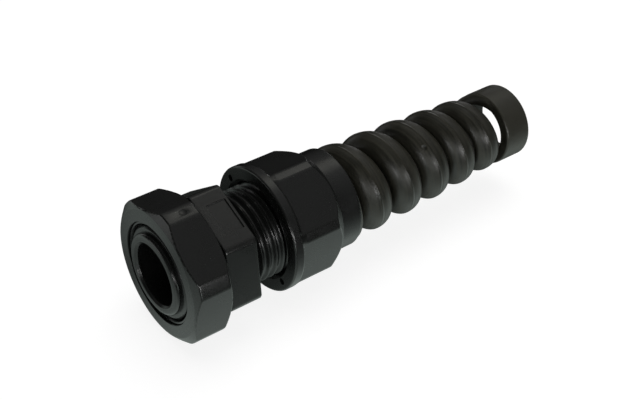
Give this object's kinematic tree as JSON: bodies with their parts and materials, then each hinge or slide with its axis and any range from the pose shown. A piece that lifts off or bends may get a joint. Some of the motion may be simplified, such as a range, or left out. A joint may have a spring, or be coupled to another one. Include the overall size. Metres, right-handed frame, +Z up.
{
  "type": "spiral cable gland",
  "caption": "Black nylon cable gland with a hexagon locknut, a hexagon body, and a dome nut that carries a tapered helical strain relief.",
  "frame": {"origin": "on the cable axis, in the plane of the flange face that seats on the panel", "axes": "+X along the axis towards the cable outlet at the end ring, +Z up, the gland lying level"},
  "size_m": [0.0957, 0.0306, 0.0306],
  "materials": {
    "nylon": "satin black",
    "rubber": "matt black"
  },
  "bodies": {
    "gland": {"gland_body": "nylon", "sealing_insert": "rubber"},
    "lock": {"locknut": "nylon"},
    "dome": {"dome_nut": "nylon"}
  },
  "joints": [
    {"name": "locknut_slide", "type": "slide", "parent": "gland", "child": "lock", "axis": [-1, 0, 0], "range_m": [0, 0.014]},
    {"name": "dome_nut_slide", "type": "slide", "parent": "gland", "child": "dome", "axis": [1, 0, 0], "range_m": [-0.0035, 0.016]}
  ]
}
